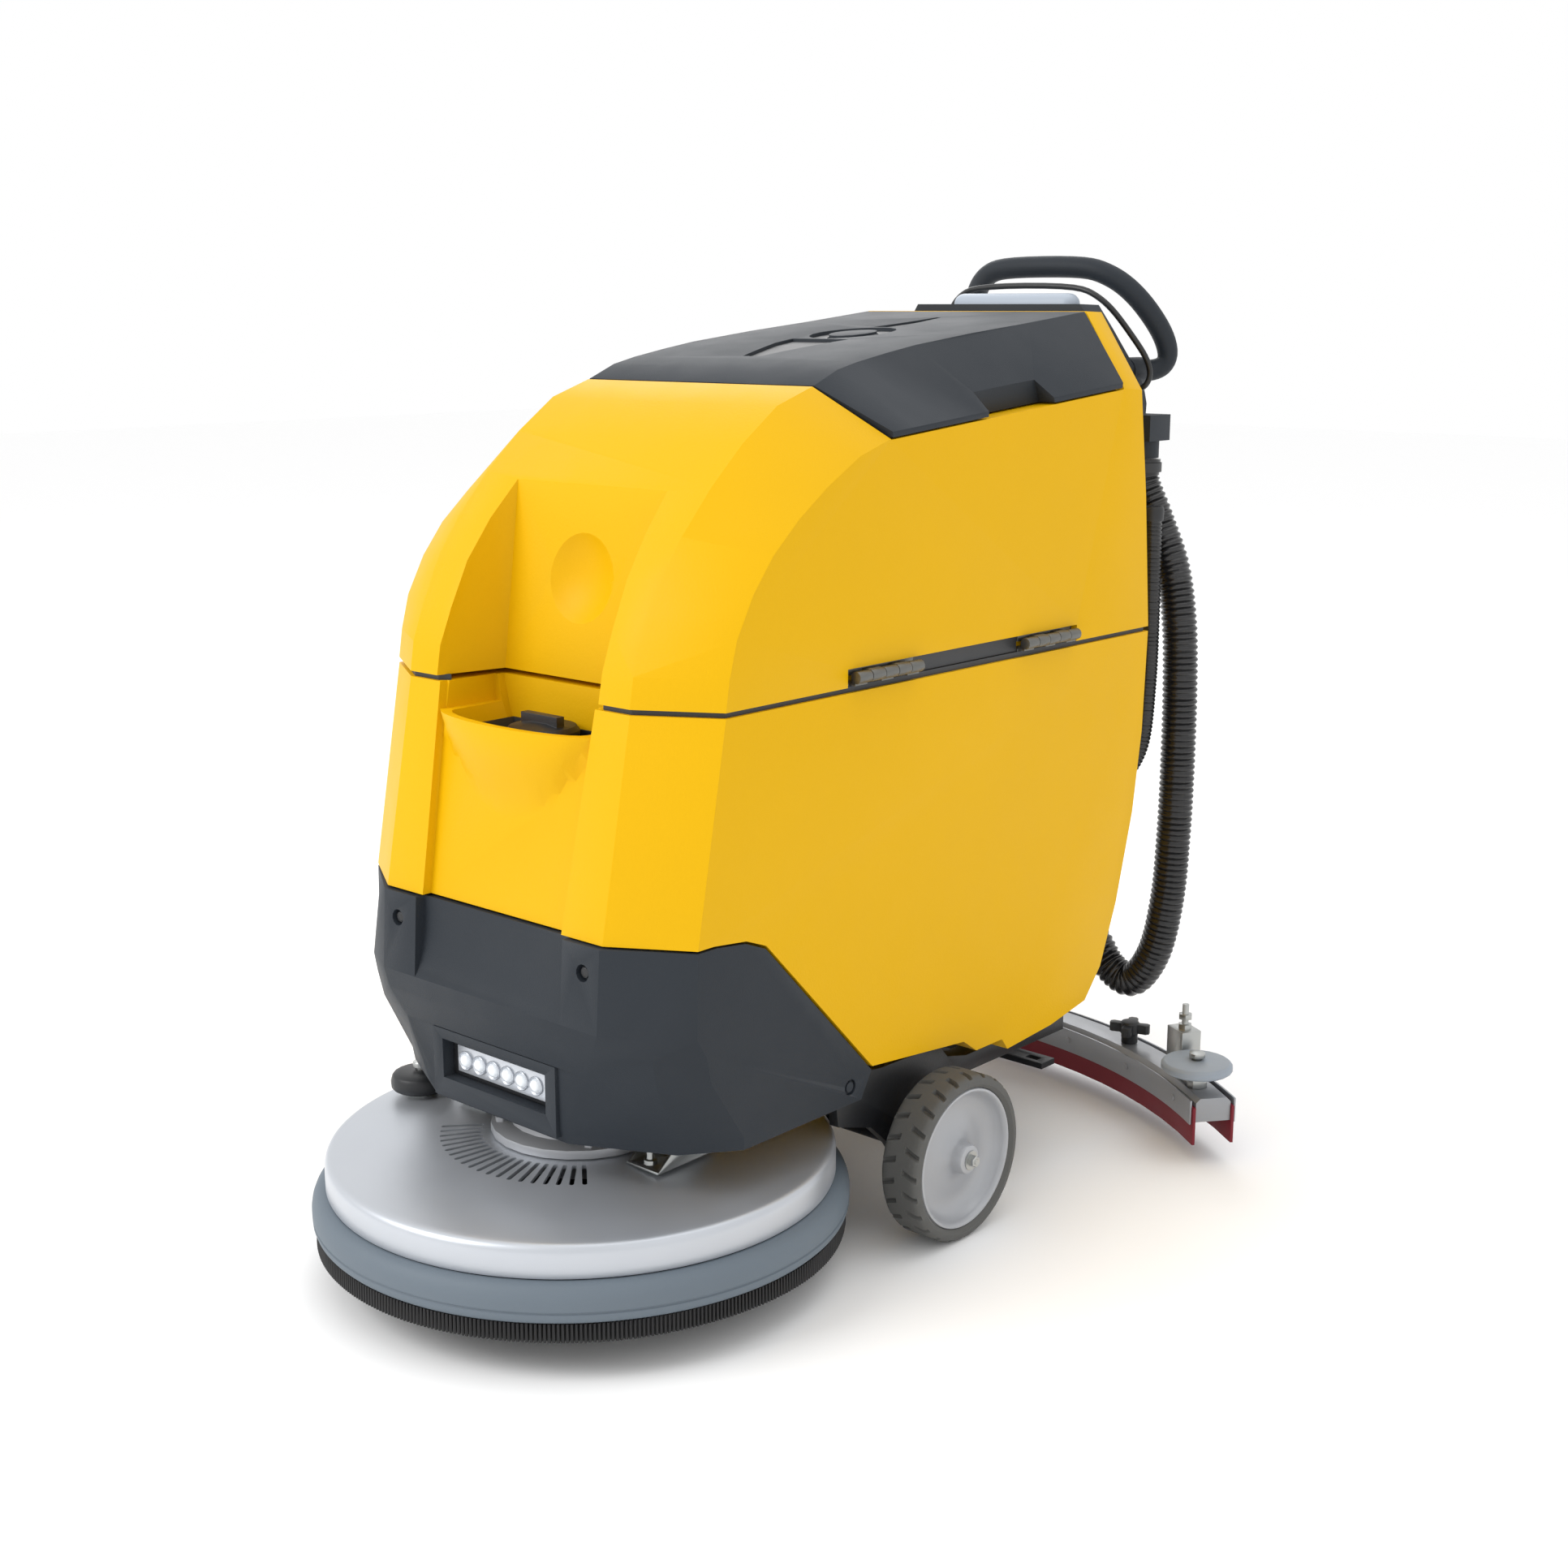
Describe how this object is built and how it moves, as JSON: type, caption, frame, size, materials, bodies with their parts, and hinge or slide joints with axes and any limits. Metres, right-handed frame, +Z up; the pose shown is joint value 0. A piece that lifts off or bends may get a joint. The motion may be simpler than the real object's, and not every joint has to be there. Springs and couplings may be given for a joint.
{
  "type": "walk-behind floor scrubber",
  "caption": "Walk-behind floor scrubber with a round brush deck, tilting recovery tank, curved rear squeegee, grip loop with bail, drive wheels and swivel casters.",
  "frame": {"origin": "centre of the footprint, on the floor", "axes": "-Y is the machine's front, +X its left side, +Z up"},
  "size_m": [0.7736, 1.1362, 1.0285],
  "materials": {
    "tank_yellow": "moulded polyethylene, soft sheen",
    "charcoal_plastic": "fine-grained moulding",
    "black_plastic": "satin moulding",
    "clear_lens": "clear lamp lens",
    "panel_grey": "pale blue-grey printed panel",
    "bail_steel": "black powder coat",
    "frame_black": "black powder coat",
    "battery_case": "moulded battery case",
    "silver_paint": "silver paint, satin",
    "ring_rubber": "blue-grey rubber",
    "bristle_black": "black nylon bristles",
    "hub_grey": "light grey paint",
    "channel_aluminium": "satin casting",
    "squeegee_rubber": "dark red gum rubber",
    "hose_black": "ribbed flexible hose",
    "button_green": "smooth moulding",
    "zinc_steel": "zinc plate",
    "tyre_grey": "non-marking grey rubber",
    "roller_grey": "moulded roller"
  },
  "bodies": {
    "machine": {"solution_tank": "tank_yellow", "front_skirt": "charcoal_plastic", "skirt_bolt_left": "black_plastic", "skirt_bolt_right": "black_plastic", "lamp_body": "black_plastic", "lamp_lens": "clear_lens", "filler_tray": "black_plastic", "hinge_front_lower": "zinc_steel", "hinge_rear_lower": "zinc_steel", "console": "charcoal_plastic", "control_panel": "panel_grey", "battery_gauge": "black_plastic", "handle_loop": "charcoal_plastic", "rear_column": "frame_black", "chassis": "frame_black", "transaxle": "frame_black", "battery_pack": "battery_case", "vacuum_motor": "black_plastic", "suction_hose": "hose_black"},
    "recovery": {"recovery_tank": "tank_yellow", "hinge_front_upper": "zinc_steel", "hinge_rear_upper": "zinc_steel", "float_cage": "panel_grey", "hose_clip": "black_plastic", "drain_hose": "hose_black"},
    "lid": {"recovery_lid": "charcoal_plastic"},
    "fill_cap": {"filler_cap": "black_plastic"},
    "bail": {"bail_lever": "bail_steel"},
    "brush_button": {"button_brush": "button_green"},
    "vacuum_button": {"button_vacuum": "black_plastic"},
    "water_button": {"button_water": "black_plastic"},
    "key": {"key_switch": "zinc_steel"},
    "lever": {"squeegee_lever": "frame_black"},
    "arm": {"squeegee_arm": "frame_black"},
    "squeegee": {"squeegee_body": "channel_aluminium", "blade_front": "squeegee_rubber", "blade_rear": "squeegee_rubber", "squeegee_bracket_left": "zinc_steel", "squeegee_bracket_right": "zinc_steel"},
    "deck": {"deck_cover": "silver_paint", "bumper_ring": "ring_rubber", "splash_curtain": "bristle_black", "brush_motor": "hub_grey", "deck_bracket_left": "zinc_steel", "deck_bracket_right": "zinc_steel"},
    "brush": {"scrub_brush": "bristle_black"},
    "guide": {"wall_roller": "black_plastic"},
    "wheel_left": {"tyre_left": "tyre_grey", "hub_left": "hub_grey"},
    "caster_left": {"caster_fork_left": "frame_black"},
    "caster_wheel_left": {"caster_wheel_left": "ring_rubber"},
    "knob_left": {"squeegee_knob_left": "black_plastic"},
    "roller_left": {"squeegee_roller_left": "roller_grey"},
    "wheel_right": {"tyre_right": "tyre_grey", "hub_right": "hub_grey"},
    "caster_right": {"caster_fork_right": "frame_black"},
    "caster_wheel_right": {"caster_wheel_right": "ring_rubber"},
    "knob_right": {"squeegee_knob_right": "black_plastic"},
    "roller_right": {"squeegee_roller_right": "roller_grey"}
  },
  "joints": [
    {"name": "tank_tilt", "type": "hinge", "parent": "machine", "child": "recovery", "pos_m": [0.2395, 0, 0.62], "axis": [0, 1, 0], "range_deg": [0, 75]},
    {"name": "lid_hinge", "type": "hinge", "parent": "recovery", "child": "lid", "pos_m": [-0.2368, 0.12, 0.8445], "axis": [0, -1, 0], "range_deg": [0, 80]},
    {"name": "fill_cap_turn", "type": "hinge", "parent": "machine", "child": "fill_cap", "pos_m": [0, -0.3325, 0.55], "axis": [0, 0, 1], "range_deg": [0, 90]},
    {"name": "bail_squeeze", "type": "hinge", "parent": "machine", "child": "bail", "pos_m": [0, 0.497, 0.873], "axis": [-1, 0, 0], "range_deg": [0, 10], "stiffness_Nm_per_rad": 1.2},
    {"name": "brush_press", "type": "slide", "parent": "machine", "child": "brush_button", "axis": [0, -0.6791, -0.7341], "range_m": [0, 0.0015], "stiffness_N_per_m": 400},
    {"name": "vacuum_press", "type": "slide", "parent": "machine", "child": "vacuum_button", "axis": [0, -0.6791, -0.7341], "range_m": [0, 0.0015], "stiffness_N_per_m": 400},
    {"name": "water_press", "type": "slide", "parent": "machine", "child": "water_button", "axis": [0, -0.6791, -0.7341], "range_m": [0, 0.0015], "stiffness_N_per_m": 400},
    {"name": "key_turn", "type": "hinge", "parent": "machine", "child": "key", "pos_m": [0.075, 0.4809, 0.9322], "axis": [0, 0.6791, 0.7341], "range_deg": [0, 90]},
    {"name": "squeegee_lever_pull", "type": "hinge", "parent": "machine", "child": "lever", "pos_m": [-0.0927, 0.435, 0.678], "axis": [1, 0, 0], "range_deg": [-40, 0]},
    {"name": "squeegee_lift", "type": "hinge", "parent": "machine", "child": "arm", "pos_m": [0, 0.262, 0.128], "axis": [1, 0, 0], "range_deg": [-5, 0]},
    {"name": "squeegee_swivel", "type": "hinge", "parent": "arm", "child": "squeegee", "pos_m": [0, 0.477, 0.0925], "axis": [0, 0, 1], "range_deg": [-12, 12]},
    {"name": "wheel_left_roll", "type": "hinge", "parent": "machine", "child": "wheel_left", "pos_m": [0.256, 0, 0.0909], "axis": [1, 0, 0], "continuous": true},
    {"name": "caster_left_swivel", "type": "hinge", "parent": "machine", "child": "caster_left", "pos_m": [0.105, 0.168, 0.1], "axis": [0, 0, 1], "continuous": true},
    {"name": "caster_left_roll", "type": "hinge", "parent": "caster_left", "child": "caster_wheel_left", "pos_m": [0.105, 0.198, 0.0375], "axis": [1, 0, 0], "continuous": true},
    {"name": "wheel_right_roll", "type": "hinge", "parent": "machine", "child": "wheel_right", "pos_m": [-0.256, 0, 0.0909], "axis": [1, 0, 0], "continuous": true},
    {"name": "caster_right_swivel", "type": "hinge", "parent": "machine", "child": "caster_right", "pos_m": [-0.105, 0.168, 0.1], "axis": [0, 0, 1], "continuous": true},
    {"name": "caster_right_roll", "type": "hinge", "parent": "caster_right", "child": "caster_wheel_right", "pos_m": [-0.105, 0.198, 0.0375], "axis": [1, 0, 0], "continuous": true},
    {"name": "knob_left_turn", "type": "hinge", "parent": "squeegee", "child": "knob_left", "pos_m": [0.19534, 0.44431, 0.1], "axis": [0, 0, 1], "continuous": true},
    {"name": "roller_left_spin", "type": "hinge", "parent": "squeegee", "child": "roller_left", "pos_m": [0.33328, 0.37111, 0.105], "axis": [0, 0, 1], "continuous": true},
    {"name": "knob_right_turn", "type": "hinge", "parent": "squeegee", "child": "knob_right", "pos_m": [-0.19534, 0.44431, 0.1], "axis": [0, 0, 1], "continuous": true},
    {"name": "roller_right_spin", "type": "hinge", "parent": "squeegee", "child": "roller_right", "pos_m": [-0.33328, 0.37111, 0.105], "axis": [0, 0, 1], "continuous": true},
    {"name": "deck_lift", "type": "slide", "parent": "machine", "child": "deck", "axis": [0, 0, 1], "range_m": [-0.038, 0]},
    {"name": "brush_spin", "type": "hinge", "parent": "deck", "child": "brush", "pos_m": [0, -0.292, 0.09], "axis": [0, 0, 1], "continuous": true},
    {"name": "guide_roller_spin", "type": "hinge", "parent": "deck", "child": "guide", "pos_m": [-0.212, -0.332, 0.15], "axis": [0, 0, 1], "continuous": true}
  ],
  "couplings": [
    {"joint": "squeegee_lift", "follows": "squeegee_lever_pull", "ratio": 0.125}
  ]
}
